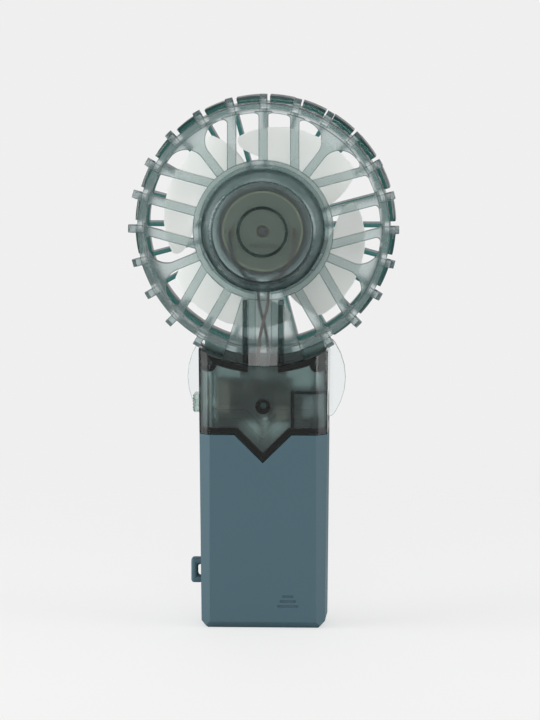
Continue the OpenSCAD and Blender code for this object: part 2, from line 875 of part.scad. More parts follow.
// Collar on the saddle that holds the drum
module drum_collar() {
    intersection() {
        disc(split_gap / 2, ring_back - 2 * fit_gap) difference() {
            circle(saddle_r + saddle_wall / 2);
            circle(drum_r + fit_gap);
        }
        block([-collar_x, -past, joint_z], [collar_x, past, axis_z]);
    }
}

module housing_screws() {
    drive_w = 0.5;
    drive_l = 2;
    drive_d = 0.7;
    color("#b9bcbe") for (place = screw_places) {
        difference() {
            union() {
                peg(place, screw_r, head_seat - screw_l, head_seat + bite);
                peg(place, head_r, head_seat, head_seat + head_h);
            }
            translate([place[0], head_seat + head_h, place[1]]) {
                cube([drive_w, 2 * drive_d, drive_l], center = true);
                cube([drive_l, 2 * drive_d, drive_w], center = true);
            }
        }
    }
}

module front_plate() {
    mid_z = joint_z + plate_rise + plate_h / 2;
    lobe_x = plate_w / 2 - plate_side_r;
    color("#e4eaea") slab(face_y, face_y + plate_t) translate([0, mid_z]) {
        offset(r = plate_corner_r, $fn = 32) offset(delta = -plate_corner_r) intersection() {
            union() {
                for (s = [-1, 1]) translate([s * lobe_x, 0]) circle(plate_side_r);
                square([2 * lobe_x, plate_h], center = true);
            }
            square([plate_w, plate_h], center = true);
        }
    }
}

// Outline of all ribs of the rear grille about the fan axis
module rib_outline() {
    intersection() {
        union() {
            for (a = triple_ribs, k = [-1:1]) rib(a, k);
            for (pair = double_ribs, k = pair[1]) rib(pair[0], k);
            for (a = forked_ribs) rotate(a) {
                translate([0, -rib_w / 2]) square([rim_mid_r, rib_w]);
                for (s = [-1, 1]) rib_end(s * rib_w / 2, s, flare_r);
            }
        }
        difference() {
            circle(rim_in_r + bite);
            circle(middle_r - bite);
        }
    }
}

module rib(angle, k) {
    rotate(angle) {
        translate([0, k * rib_pitch - rib_w / 2]) square([rim_mid_r, rib_w]);
        for (s = [-1, 1]) rib_end(k * rib_pitch + s * rib_w / 2, s, fillet_r);
    }
}

// Hollow corner of radius r between the rim and a rib whose side lies at y, open towards s
module rib_end(y, s, r) {
    inside_y = y - s * rib_w / 2;
    centre_y = y + s * (r - tuck);
    centre_x = sqrt(pow(rim_in_r + tuck - r, 2) - pow(centre_y, 2));
    direction = atan2(centre_y, centre_x);
    difference() {
        polygon([
            [centre_x, centre_y], [centre_x, inside_y], [drum_r, inside_y],
            drum_r * [cos(direction), sin(direction)]
        ]);
        translate([centre_x, centre_y]) circle(r);
    }
}

// Sector of a flat ring, spread by half an angle to each side of its middle
module ring_sector(r0, r1, middle, half) {
    rotate(middle) intersection() {
        difference() {
            circle(r1);
            circle(r0);
        }
        polygon([
            [0, 0], 2 * r1 * [cos(half), -sin(half)], [2 * r1, 0], 2 * r1 * [cos(half), sin(half)]
        ]);
    }
}

module rear_grille() {
    neck_r = saddle_r - fit_gap;
    flange_z = saddle_low - fit_gap;
    stem_low = axis_z - rim_in_r - bite;
    stem_high = axis_z - middle_r + bite;
    color("#a2aeaa") difference() {
        union() {
            turned() band(rim_in_r, drum_r, grille_front - rim_t, grille_front);
            disc(grille_back, grille_front) rib_outline();
            rim_fins();
            // Middle ring, web and motor pot
            turned() {
                band(seat_r, middle_r, grille_back - ring_lip, grille_front);
                band(seat_r, seat_r + seat_wall, grille_front - bite, web_front);
                band(pot_in_r + bite, seat_r + bite, web_back, web_front);
                band(pot_in_r, pot_r, pot_back, pot_front);
                band(motor_boss_r + fit_gap, pot_r, motor_front, pot_front);
            }
            // Stem, with panels beside it
            disc(grille_back + grille_t / 4, grille_front) {
                ring_sector(middle_r - bite, rim_in_r + bite, stem_angle, neck_angle);
            }
            for (s = [-1, 1]) {
                stem_bar(s * (channel_w + rail_w) / 2, rail_w, stem_back_t + rail_h, stem_low, stem_high);
            }
            stem_bar(0, stem_w, stem_back_t, stem_low, stem_high);
            // Neck block down to the saddle, and the tongue held in the housing
            disc(grille_back, grille_front) {
                ring_sector(rim_in_r + bite / 2, neck_r, stem_angle, neck_angle);
            }
            disc(grille_back, neck_front) ring_sector(drum_r + fit_gap, neck_r, stem_angle, neck_angle);
            neck_ramp();
            block(
                [-neck_w / 2, fit_gap - inner_y, flange_z - flange_t],
                [neck_w / 2, neck_front, axis_z - drum_r - bite]
            );
            block(
                [-flange_w / 2, fit_gap - inner_y, flange_z - flange_t],
                [flange_w / 2, neck_front, flange_z]
            );
        }
        // Channel for the two wires
        block(
            [-channel_w / 2, grille_back + stem_back_t, saddle_low - past / 4],
            [channel_w / 2, stem_front, axis_z - seat_r + bite]
        );
        // Slots for the walls of the wire cover
        for (s = [-1, 1]) cover_walls(s, fit_gap);
        disc(-past, grille_back + clip_low + clip_l + fit_gap) {
            rays(clip_angles, seat_r - bite, seat_r + clip_h + fit_gap, clip_w + 2 * fit_gap);
        }
    }
}

// Wall of the wire cover at one side, wider by a gap where it makes a slot
module cover_walls(side, gap) {
    middle = side * (stem_w - cover_wall) / 2;
    half = cover_wall / 2 + gap;
    block(
        [middle - half, gap > 0 ? -past : cover_back, cover_low - gap],
        [middle + half, cover_front + gap, cover_high + gap]
    );
}

// Cover over the wires, clipped into the stem from the impeller's side
module wire_cover() {
    color("#4c5a59") {
        for (s = [-1, 1]) cover_walls(s, 0);
        block(
            [-stem_w / 2, cover_front - cover_t, axis_z - rim_in_r + cover_t],
            [stem_w / 2, cover_front, cover_high]
        );
    }
}

// Drum between the rear grille and the front ring, with a notch for the wire cover
module head_drum() {
    color("#d5dedd") difference() {
        turned() polygon([
            [drum_in_r, drum_back], [drum_r, drum_back], [drum_r, drum_front], [plug_r, drum_front],
            [plug_r, ring_back + ring_lap], [drum_in_r, ring_back + ring_lap]
        ]);
        block(
            [-stem_w / 2 - fit_gap, -past, axis_z - fin_r],
            [stem_w / 2 + fit_gap, cover_front + fit_gap, axis_z - middle_r]
        );
    }
}

// Bar of the stem at a place in X, height h from the grille's back
module stem_bar(x, w, h, z0, z1) {
    block([x - w / 2, grille_back, z0], [x + w / 2, grille_back + h, z1]);
}

// Sloped back of the neck block
module neck_ramp() {
    low = axis_z - saddle_r + 2 * fit_gap;
    across(-neck_w / 2, neck_w / 2) polygon([
        [grille_back + bite, axis_z - rim_in_r], [grille_back, axis_z - rim_in_r],
        [-inner_y - housing_face / 2, low], [grille_back + bite, low]
    ]);
}

// Fins across the rim and round the drum, with a turned profile
module rim_fins() {
    back = grille_back + fin_back;
    front = grille_back + fin_l;
    root_r = rim_in_r + bite / 2;
    outside_r = drum_r + fit_gap;
    root_front = grille_front - bite;
    intersection() {
        disc(back - bite, front + bite) rays(fin_angles, root_r, fin_r + bite, fin_w);
        turned() polygon([
            [root_r - bite, back], [fin_r - fin_bevel, back], [fin_r, back + fin_bevel], [fin_r, front],
            [outside_r, front], [outside_r, root_front], [root_r - bite, root_front]
        ]);
    }
}

module motor_cap() {
    round = 0.8;
    step_y = grille_back - ring_lip;
    color("#6c7c7e") difference() {
        union() {
            turned() polygon([
                [0, cap_back], [cap_face_r - round, cap_back], [cap_face_r, cap_back + round],
                [cap_r, step_y], [cap_r, cap_front], [cap_r - cap_wall, cap_front],
                [cap_r - cap_wall, step_y], [cap_face_r - cap_wall, cap_back + cap_wall],
                [0, cap_back + cap_wall]
            ]);
            turned() {
                band(cap_ring_r - cap_ring_w / 2, cap_ring_r + cap_ring_w / 2,
                    cap_back + cap_wall - bite, motor_back);
            }
            disc(grille_back + clip_low, grille_back + clip_low + clip_l) {
                rays(clip_angles, cap_r - bite, cap_r + clip_h, clip_w);
            }
        }
        block(
            [-channel_w / 2, grille_back + stem_back_t - bite, axis_z - seat_r - bite],
            [channel_w / 2, past, axis_z - cap_r + 2 * cap_wall]
        );
    }
}

module front_grille() {
    groove_r = plug_r + fit_gap;
    groove_front = ring_back + ring_lap + fit_gap;
    mid_front = head_front - front_mid_wall;
    color("#5f7176") difference() {
        union() {
            turned() {
                polygon([
                    [ring_in_r, ring_back], [ring_r - ring_bevel, ring_back],
                    [ring_r, ring_back + ring_bevel], [ring_r, head_front - ring_bevel],
                    [ring_r - ring_bevel, head_front], [ring_in_r, head_front]
                ]);
                band(front_mid_r - front_mid_wall, front_mid_r, spoke_back, head_front);
                band(0, front_mid_r, mid_front, head_front);
            }
            disc(spoke_back, head_front) {
                rays(spoke_angles, front_mid_r - bite, ring_in_r + bite, spoke_w);
            }
        }
        // Groove for the drum
        turned() band(drum_in_r - fit_gap, groove_r, ring_back - bite, groove_front);
        disc(ring_back - past, past) rays(spoke_angles, ring_base_r, ring_r + past, notch_w);
        rod(badge_r + fit_gap, head_front - badge_seat, past);
    }
}

module front_badge() {
    round = 0.4;
    back = head_front - badge_seat;
    color("#4e6870") turned() polygon([
        [0, back], [badge_r, back], [badge_r, back + badge_t - round],
        [badge_r - round, back + badge_t], [0, back + badge_t]
    ]);
}

// One blade: a grid of points on two skins, i from root to tip and j from trailing to leading edge
module blade(angle) {
    ni = 8;
    nj = 12;
    count = (ni + 1) * (nj + 1);
    outer = blade_r * (blade_angle + blade_hook - blade_sweep) * PI / 180;
    points = [
        for (skin = [-1, 1], i = [0:ni], j = [0:nj])
            let (
                s = i / ni,
                u = (1 - cos(180 * j / nj)) / 2,
                corners = round_off(trail_round, outer * u) + round_off(lead_round, outer * (1 - u)),
                tip = blade_r - blade_drop * pow(u, hook_power) - corners,
                r = blade_root_r + s * (tip - blade_root_r),
                trailing = blade_sweep * pow(s, 2),
                leading = blade_angle + blade_hook * (1 - pow(min(1, (1 - s) / hook_span), hook_power)),
                a = angle + trailing + (leading - trailing) * u,
                mid = blade_front - blade_t / 2 - (blade_rise - blade_t) * u,
                y = mid - blade_camber * sin(180 * u) * (1 - u) + skin * blade_t / 2
            )
            [r * cos(a), y, axis_z + r * sin(a)]
    ];
    back = function (i, j) i * (nj + 1) + j;
    front = function (i, j) count + back(i, j);
    polyhedron(points, [
        for (i = [0:ni - 1], j = [0:nj - 1]) each concat(
            quad(back(i, j), back(i, j + 1), back(i + 1, j + 1), back(i + 1, j)),
            quad(front(i, j), front(i + 1, j), front(i + 1, j + 1), front(i, j + 1))
        ),
        for (j = [0:nj - 1]) each concat(
            quad(back(0, j + 1), back(0, j), front(0, j), front(0, j + 1)),
            quad(back(ni, j), back(ni, j + 1), front(ni, j + 1), front(ni, j))
        ),
        for (i = [0:ni - 1]) each concat(
            quad(back(i, 0), back(i + 1, 0), front(i + 1, 0), front(i, 0)),
            quad(back(i + 1, nj), back(i, nj), front(i, nj), front(i + 1, nj))
        )
    ]);
}

function quad(a, b, c, d) = [[a, b, c], [a, c, d]];
// Fall of a corner of radius r at a distance d from its edge
function round_off(r, d) = d < r ? r - sqrt(pow(r, 2) - pow(r - d, 2)) : 0;

module fan_blade() {
    bore_r = shaft_r + bush_gap;
    color("#dbddde") difference() {
        union() {
            turned() {
                band(hub_in_r, hub_r, hub_rear, hub_front);
                band(0, hub_r, hub_back, hub_front);
                band(0, hub_boss_r, hub_front - bite, hub_end);
            }
            for (k = [0:blades - 1]) blade(blade_phase + k * 360 / blades);
        }
        rod(bore_r, -past, shaft_end + fit_gap);
    }
}

module motor_can() {
    color("#a9a892") turned() {
        band(can_in_r, motor_r, motor_back, motor_front);
        band(bush_r + fit_gap / 3, motor_r, motor_front - can_t, motor_front);
        band(bush_r + fit_gap / 3, motor_boss_r, motor_front - can_t, boss_front);
    }
}

module motor_end_cap() {
    color("#2b2f31") difference() {
        turned() band(bush_r + fit_gap / 3, can_in_r - fit_gap / 3, motor_back, motor_back + end_cap_t);
        for (s = [-1, 1]) terminal(s, fit_gap / 3);
        translate([-vent_w / 2, motor_back - bite, axis_z - vent_z - vent_h / 2]) {
            cube([vent_w, vent_d + bite, vent_h]);
        }
    }
}

module terminal(side, gap) {
    translate([side * terminal_x, motor_back - terminal_out - gap, axis_z]) {
        translate([-terminal_t / 2 - gap, 0, -terminal_w / 2 - gap]) {
            cube([terminal_t + 2 * gap, terminal_out + end_cap_t + 3 * gap, terminal_w + 2 * gap]);
        }
    }
}

module motor_terminals() {
    color("#c9a24a") for (s = [-1, 1]) terminal(s, 0);
}

module motor_bushes() {
    color("#b98a4a") turned() {
        band(shaft_r + bush_gap, bush_r, motor_back, motor_back + end_cap_t);
        band(shaft_r + bush_gap, bush_r, motor_front - can_t, boss_front);
    }
}

module motor_magnets() {
    color("#4a4644") disc(magnet_back, magnet_front) {
        for (middle = magnet_angles) {
            ring_sector(armature_r + air_gap, can_in_r - fit_gap / 3, middle, magnet_half_angle);
        }
    }
}

module motor_shaft() {
    color("#c3c6c8") rod(shaft_r, motor_back + fit_gap, shaft_end);
}

// Three poles, each an arm under a curved shoe
module motor_armature() {
    color("#8b8e90") disc(armature_back, armature_front) difference() {
        union() {
            circle(core_r);
            rays(pole_angles, 0, armature_r - shoe_t / 2, pole_w);
            for (a = pole_angles) ring_sector(armature_r - shoe_t, armature_r, a, shoe_angle);
        }
        circle(shaft_r + bush_gap);
    }
}

module motor_windings() {
    color("#b46a3c") difference() {
        disc(armature_back - run_gap / 2, armature_front + run_gap / 2) {
            rays(pole_angles, winding_in_r, winding_out_r, pole_w + 2 * winding_t);
        }
        disc(armature_back - fit_gap / 2, armature_front + fit_gap / 2) {
            rays(pole_angles, 0, armature_r, pole_w + fit_gap);
        }
    }
}

module motor_commutator() {
    color("#b87a48") turned() {
        band(shaft_r + bush_gap, core_r - fit_gap, commutator_back, commutator_front);
    }
}

module motor_wire_red() {
    color("#8a3a34") tube(red_route, wire_d);
}

module motor_wire_black() {
    color("#2d3032") tube(black_route, wire_d);
}

module circuit_board() {
    color("#2f4a3c") difference() {
        slab(board_back, board_front) translate([-board_left, board_z0]) {
            square([board_w, board_h]);
            square([board_left + housing_in - 2 * fit_gap, tab_h]);
        }
        peg(screw_places[2], screw_r + 2 * fit_gap, -past, past);
    }
}

// Part on the back of the board, by its corner's place, its size and its height
module on_board(at, size, h) {
    block(
        [at[0], board_back - h, board_z0 + at[1]],
        [at[0] + size[0], board_back, board_z0 + at[1] + size[1]]
    );
}

// Small chips, coil and solder joints on both faces of the board
module board_parts() {
    color("#8d8578") {
        for (k = [0:2]) {
            on_board(upper_chips + [k * chip_pitch, 0], chip_size, chip_h);
            on_board(lower_chips + [k * chip_pitch, 0], chip_size, chip_h);
        }
        on_board(coil_at, coil_size, coil_h);
        for (route = [red_route, black_route]) {
            pad = route[len(route) - 1];
            peg([pad[0], pad[2]], solder_r, board_back - solder_h, board_back);
        }
        for (s = [-1, 1]) {
            pad = lead_route[len(lead_route) - 1];
            peg([s * pad[0], board_z0 + lead_pad_z], solder_r, board_front, board_front + solder_h);
        }
    }
}

// Chip with a row of legs above and below
module control_chip() {
    color("#1d1f21") {
        on_board(control_at, control_size, control_h);
        for (k = [0:3], s = [-1, 1]) {
            z = control_at[1] + (s < 0 ? -leg_l : control_size[1] - leg_w);
            on_board([control_at[0] + leg_w + k * leg_pitch, z], [leg_w, leg_l + leg_w], leg_h);
        }
    }
}

module charge_led() {
    color("#e9efe8") on_board(led_at, led_size, led_h);
}

module charging_socket() {
    color("#bfc3c6") difference() {
        across(socket_end - socket_l, socket_end) stadium(socket_t, socket_w);
        across(socket_end - socket_l + socket_sheet, past) {
            stadium(socket_t - 2 * socket_sheet, socket_w - 2 * socket_sheet);
        }
    }
}

module socket_tongue() {
    base = 1.6;
    x0 = socket_end - socket_l + socket_sheet;
    gap = fit_gap / 3;
    color("#1d1f21") {
        across(x0, x0 + base) stadium(
            socket_t - 2 * socket_sheet - 2 * gap, socket_w - 2 * socket_sheet - 2 * gap
        );
        block(
            [x0, -contact_t / 2, socket_z - contact_w / 2],
            [socket_end - run_gap, contact_t / 2, socket_z + contact_w / 2]
        );
    }
}

module switch_frame() {
    low = frame_mid_z - frame_h / 2;
    high = frame_mid_z + frame_h / 2;
    color("#b59a6a") difference() {
        block([-frame_x, board_back - frame_d, low], [frame_w - frame_x, board_back, high]);
        block(
            [frame_t - frame_x, board_back - frame_d + frame_t, low + frame_t],
            [frame_w - frame_x - frame_t, board_back - frame_t, high - frame_t]
        );
        block(
            [-past, lever_y - lever_d / 2 - slide_gap, slot_low],
            [frame_t - frame_x + bite, lever_y + lever_d / 2 + slide_gap, slot_high]
        );
    }
}

module switch_slider() {
    half_d = frame_d / 2 - frame_t - slide_gap;
    color("#2b2f31") {
        block(
            [frame_t + slide_gap - frame_x, lever_y - half_d, knob_z - slider_h / 2],
            [frame_w - frame_x - frame_t - slide_gap, lever_y + half_d, knob_z + slider_h / 2]
        );
        block(
            [-lever_end_x, lever_y - lever_d / 2, knob_z - lever_h / 2],
            [frame_t + slide_gap - frame_x + bite, lever_y + lever_d / 2, knob_z + lever_h / 2]
        );
    }
}

module slide_knob() {
    out_x = knob_in_x + knob_t;
    gap = fit_gap / 3;
    pitch = knob_h / (knob_ridges + 1);
    bevel = 0.6;
    color("#a4b5ae") difference() {
        intersection() {
            slab(lever_y - knob_d / 2, lever_y + knob_d / 2) polygon([
                [-knob_in_x, knob_z - knob_h / 2], [-knob_in_x, knob_z + knob_h / 2],
                [bevel - out_x, knob_z + knob_h / 2], [-out_x, knob_z + knob_h / 2 - bevel],
                [-out_x, knob_z - knob_h / 2 + bevel], [bevel - out_x, knob_z - knob_h / 2]
            ]);
            linear_extrude(axis_z) polygon([
                [-knob_in_x, lever_y - knob_d / 2], [bevel - out_x, lever_y - knob_d / 2],
                [-out_x, lever_y - knob_d / 2 + bevel], [-out_x, lever_y + knob_d / 2 - bevel],
                [bevel - out_x, lever_y + knob_d / 2], [-knob_in_x, lever_y + knob_d / 2]
            ]);
        }
        for (k = [0:knob_ridges - 1]) {
            slab(-past, past) translate([-out_x, knob_z + (k - (knob_ridges - 1) / 2) * pitch]) {
                rotate(45) square(ridge_d * sqrt(2), center = true);
            }
        }
        block(
            [-lever_end_x - gap, lever_y - lever_d / 2 - gap, knob_z - lever_h / 2 - gap],
            [0, lever_y + lever_d / 2 + gap, knob_z + lever_h / 2 + gap]
        );
    }
}

module battery_cell() {
    color("#9aa4a8") translate([0, 0, sleeve_floor]) {
        linear_extrude(cell_h) round_rect(cell_w, cell_t, cell_round);
    }
}

module cell_board() {
    color("#3c5a48") block(
        [-cell_w / 2 + cell_round, -cell_board_t / 2, cell_top],
        [cell_w / 2 - cell_round, cell_board_t / 2, cell_top + cell_board_h]
    );
}

module battery_leads() {
    color("#8a3a34") for (s = [-1, 1]) tube([for (p = lead_route) [s * p[0], p[1], p[2]]], wire_d);
}

module battery_foam() {
    inset = 3;
    color("#3a3d3f") for (s = [-1, 1]) block(
        [inset - cell_w / 2, s > 0 ? pad_back : -pad_front, sleeve_floor + inset],
        [cell_w / 2 - inset, s > 0 ? pad_front : -pad_back, cell_top - inset]
    );
}

handle_sleeve();
lanyard_eye();
housing_rear();
housing_front();
housing_screws();
front_plate();
rear_grille();
wire_cover();
head_drum();
motor_cap();
front_grille();
front_badge();
fan_blade();
motor_can();
motor_end_cap();
motor_terminals();
motor_bushes();
motor_magnets();
motor_shaft();
motor_armature();
motor_windings();
motor_commutator();
motor_wire_red();
motor_wire_black();
circuit_board();
board_parts();
control_chip();
charge_led();
charging_socket();
socket_tongue();
switch_frame();
switch_slider();
slide_knob();
battery_cell();
cell_board();
battery_leads();
battery_foam();
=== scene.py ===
"""Looks of a hand-held mini fan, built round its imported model."""

import math

import bmesh
import bpy
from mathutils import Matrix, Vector


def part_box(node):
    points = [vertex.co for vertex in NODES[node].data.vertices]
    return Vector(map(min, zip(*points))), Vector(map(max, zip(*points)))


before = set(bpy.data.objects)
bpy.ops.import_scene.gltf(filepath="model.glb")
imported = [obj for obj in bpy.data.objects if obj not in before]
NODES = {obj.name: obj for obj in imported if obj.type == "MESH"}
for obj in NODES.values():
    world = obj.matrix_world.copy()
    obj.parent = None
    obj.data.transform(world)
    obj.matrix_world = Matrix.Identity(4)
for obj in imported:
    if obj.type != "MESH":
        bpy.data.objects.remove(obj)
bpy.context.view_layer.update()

bl_info = {
    "name": "Mini fan",
    "version": (1, 0, 0),
    "blender": (4, 5, 0),
    "location": "3D View > Sidebar > Mini fan",
    "description": "Dresses the packed mini fan in its plastics and metals and sets its stage",
    "category": "Object",
}

MM = 0.001
PHOTO_SIZE = (540, 720)
SENSOR = 36

# Points nearer than this are one point of a moulding's skin
JOIN_GAP = 0.002 * MM
# Edges that bend more than this stay crisp or are eased, and faces that bend less are one flat face
CRISP_BEND = math.radians(35)
FLAT_BEND = math.radians(0.5)
# Size of the clouds in a moulding's pigment, and of the flow marks in a clear one
CLOUD = 18 * MM
FLOW_MARK = 6 * MM
# Share of the lamps' light that clear plastic lets through
LAMP_SHARE = (0.97, 0.98, 0.98, 1)
# Stretch of a metal's streaks along the fan axis
STREAKED = (1, 0.08, 1)
# Angle through which the wave texture turns in a unit of length, in radians
WAVE_RATE = 20


def linear(hexed):
    """Linear red, green and blue of an sRGB hex colour."""
    parts = [int(hexed[i : i + 2], 16) / 255 for i in (1, 3, 5)]
    return tuple(c / 12.92 if c <= 0.04045 else ((c + 0.055) / 1.055) ** 2.4 for c in parts)


def tint(label, hexed, told):
    """A colour property."""
    return bpy.props.FloatVectorProperty(
        name=label, description=told, subtype="COLOR", size=3, min=0, max=1, default=linear(hexed)
    )


def length(label, value, told):
    """A length property, given in millimetres."""
    return bpy.props.FloatProperty(
        name=label, description=told, subtype="DISTANCE", unit="LENGTH", default=value * MM
    )


def angle(label, value, told):
    """An angle property, given in degrees."""
    return bpy.props.FloatProperty(
        name=label, description=told, subtype="ANGLE", default=math.radians(value)
    )


class FanColours(bpy.types.PropertyGroup):
    """Colours of the fan's plastics and metals."""

    sleeve: tint("Sleeve", "#43606b", "Pigment of the matt handle sleeve")
    blade: tint("Blade", "#f7f4f1", "Pigment of the impeller")
    motor: tint("Motor can", "#8c8a76", "Plated sheet of the motor can")
    # Painted shade: the end cap's ivory nylon is darkened to an olive grey, as it sits in shade under the cap
    end_cap: tint("End cap", "#6c6d60", "Nylon of the motor's end cap")
    board: tint("Board", "#2b3a34", "Solder mask of the circuit board")
    red_wire: tint("Red wire", "#5e4640", "Insulation of the positive wires")
    black_wire: tint("Black wire", "#26292b", "Insulation of the negative wire")
    foil: tint("Cell wrap", "#9aa4a8", "Laminate round the battery cell")
    floor: tint("Floor", "#efefef", "Floor and backdrop")


class FanSizes(bpy.types.PropertyGroup):
    """Rounds of edges, the width of the rear guard's painted shade line, the sleeve's grain and the polish's
    depth.
    """

    edge: length("Edge", 0.35, "Round of the clear mouldings' edges")
    sleeve_edge: length("Sleeve edge", 0.5, "Round of the sleeve's edges")
    eye_edge: length("Eye edge", 0.9, "Round of the lanyard eye's edges")
    plate_edge: length("Plate edge", 0.25, "Round of the front plate's edges")
    cell_edge: length("Cell edge", 0.6, "Round of the battery cell's folds")
    shell_edge: length("Shell edge", 0.1, "Round of the socket shell's edges")
    small_edge: length("Small edge", 0.12, "Round of small parts' edges")
    # The rear guard's edges carry a painted shade line of this width
    rib_shade_line: length("Rib outline", 0.4, "Width of the dark line along the rear guard's edges")
    grain: length("Grain", 0.22, "Size of the sleeve's eroded grain")
    skin: length("Skin", 0.7, "Depth of a clear moulding's polish, under which it is frosted")


class FanView(bpy.types.PropertyGroup):
    """Place of the camera and size of the floor."""

    azimuth: angle("Azimuth", 2.9, "Turn of the camera to the right")
    elevation: angle("Elevation", 7.3, "Rise of the camera")
    distance: length("Distance", 2400, "Distance from the camera to what it aims at")
    aim_x: length("Aim across", 1.62, "Place that the camera aims at, to the right of the middle")
    aim_z: length("Aim height", 80.5, "Height that the camera aims at")
    pixels_per_mm: bpy.props.FloatProperty(
        name="Scale", description="Photograph's pixels for a millimetre at the aim", default=3.3
    )
    floor_radius: length("Floor", 420, "Radius of the floor, which fades out towards its edge")


def add(tree, kind, inputs=None, **settings):
    """Adds a node with its settings; an input is a value or another node's output."""
    made = tree.nodes.new(kind)
    for name, value in settings.items():
        setattr(made, name, value)
    for key, value in (inputs or {}).items():
        if isinstance(value, bpy.types.NodeSocket):
            tree.links.new(value, made.inputs[key])
        else:
            made.inputs[key].default_value = value
    return made


def new_material(name):
    """An empty node material and its output node."""
    made = bpy.data.materials.new(name)
    made.use_nodes = True
    made.node_tree.nodes.clear()
    return made, made.node_tree, add(made.node_tree, "ShaderNodeOutputMaterial")


def rgba(colour, factor=1.0):
    """A colour with full alpha, made lighter or darker by a factor."""
    return (*(min(1.0, c * factor) for c in colour), 1)


def moulded(name, colour, roughness, grain, bump, spread=0.06, sway=0.06, **more):
    """Opaque moulded plastic: an even pigment, a fine eroded grain and a soft sheen.

    The pigment wanders by the spread, as a share, and the roughness by the sway."""
    made, tree, out = new_material(name)
    place = add(tree, "ShaderNodeTexCoord").outputs["Object"]
    grains = add(tree, "ShaderNodeTexNoise", {"Vector": place, "Scale": 1 / grain, "Detail": 3.0})
    clouds = add(tree, "ShaderNodeTexNoise", {"Vector": place, "Scale": 1 / CLOUD, "Detail": 2.0})
    shade = add(
        tree,
        "ShaderNodeMix",
        {"Factor": clouds.outputs["Fac"], "A": rgba(colour, 1 - spread), "B": rgba(colour, 1 + spread)},
        data_type="RGBA",
    )
    rough = add(
        tree,
        "ShaderNodeMapRange",
        {"Value": grains.outputs["Fac"], "To Min": roughness - sway, "To Max": roughness + sway},
    )
    relief = add(
        tree, "ShaderNodeBump", {"Height": grains.outputs["Fac"], "Distance": bump, "Strength": 0.5}
    )
    shader = add(
        tree,
        "ShaderNodeBsdfPrincipled",
        {
            "Base Color": shade.outputs["Result"],
            "Roughness": rough.outputs["Result"],
            "Normal": relief.outputs["Normal"],
            **more,
        },
    )
    tree.links.new(shader.outputs["BSDF"], out.inputs["Surface"])
    return made


def within(tree, place, limits):
    """A mask that is 1 where a place lies nearer to the middle than a limit along each axis given."""
    parts = add(tree, "ShaderNodeSeparateXYZ", {"Vector": place})
    mask = 1.0
    for axis, limit in limits.items():
        far = add(tree, "ShaderNodeMath", {0: parts.outputs[axis]}, operation="ABSOLUTE")
        near = add(tree, "ShaderNodeMath", {0: far.outputs["Value"], 1: limit}, operation="LESS_THAN")
        both = add(tree, "ShaderNodeMath", {0: mask, 1: near.outputs["Value"]}, operation="MULTIPLY")
        mask = both.outputs["Value"]
    return mask


def clear(
    name,
    absorbed,
    roughness,
    sides,
    lean=(0.985, 0.8),
    frost=0.0,
    limits=None,
    ior=1.58,
    outline=0.3 * MM,
    coat=0.0,
    sway=0.4,
):
    """Clear moulded plastic, tinted through its depth by what it absorbs in each millimetre.

    Faces that look along the fan axis are polished, and frosted within the limits. Walls that lean away from
    it, and each edge over the outline's width, get a darker tint as painted shade, for the dark lines that
    refraction draws along a clear part's sides: the lean gives the cosines at which that starts and is full,
    and the sides the share of colour that is then left. The roughness wanders by the sway, as a share. Lamps
    shine through it, so what lies inside is lit."""
    made, tree, out = new_material(name)
    place = add(tree, "ShaderNodeTexCoord").outputs["Object"]
    eased = add(tree, "ShaderNodeBevel", {"Radius": outline}, samples=4)
    eased = add(
        tree,
        "ShaderNodeVectorTransform",
        {"Vector": eased.outputs["Normal"]},
        vector_type="NORMAL",
        convert_from="WORLD",
        convert_to="OBJECT",
    )
    facing = add(tree, "ShaderNodeSeparateXYZ", {"Vector": eased.outputs["Vector"]}).outputs["Y"]
    facing = add(tree, "ShaderNodeMath", {0: facing}, operation="ABSOLUTE").outputs["Value"]
    # Painted shade: where the surface, or an edge within the outline's width, leans away from the fan axis,
    # the tint darkens towards the sides' colour
    side = add(tree, "ShaderNodeMapRange", {"Value": facing, "From Min": lean[0], "From Max": lean[1]})
    painted_shade = add(
        tree,
        "ShaderNodeMix",
        {"Factor": side.outputs["Result"], "A": (1, 1, 1, 1), "B": (*sides, 1)},
        data_type="RGBA",
    )
    flow = add(tree, "ShaderNodeTexNoise", {"Vector": place, "Scale": 1 / FLOW_MARK, "Detail": 2.0})
    rough = add(
        tree,
        "ShaderNodeMapRange",
        {
            "Value": flow.outputs["Fac"],
            "To Min": roughness * (1 - sway),
            "To Max": roughness * (1 + sway),
        },
    ).outputs["Result"]
    if limits:
        inside = within(tree, place, limits)
        rough = add(tree, "ShaderNodeMix", {"Factor": inside, "A": rough, "B": frost}, data_type="FLOAT")
        rough = rough.outputs["Result"]
    ripple = add(
        tree, "ShaderNodeBump", {"Height": flow.outputs["Fac"], "Distance": 0.05 * MM, "Strength": 0.2}
    )
    glass = add(
        tree,
        "ShaderNodeBsdfPrincipled",
        {
            "Base Color": painted_shade.outputs["Result"],
            "Transmission Weight": 1.0,
            "IOR": ior,
            "Roughness": rough,
            "Normal": ripple.outputs["Normal"],
            "Coat Weight": coat,
        },
    )
    lamp_ray = add(tree, "ShaderNodeLightPath").outputs["Is Shadow Ray"]
    shine = add(tree, "ShaderNodeBsdfTransparent", {"Color": LAMP_SHARE})
    both = add(
        tree, "ShaderNodeMixShader", {0: lamp_ray, 1: glass.outputs["BSDF"], 2: shine.outputs["BSDF"]}
    )
    most = max(absorbed)
    depth = add(
        tree,
        "ShaderNodeVolumeAbsorption",
        {"Color": (*(1 - a / most for a in absorbed), 1), "Density": most / MM},
    )
    tree.links.new(both.outputs["Shader"], out.inputs["Surface"])
    tree.links.new(depth.outputs["Volume"], out.inputs["Volume"])
    return made


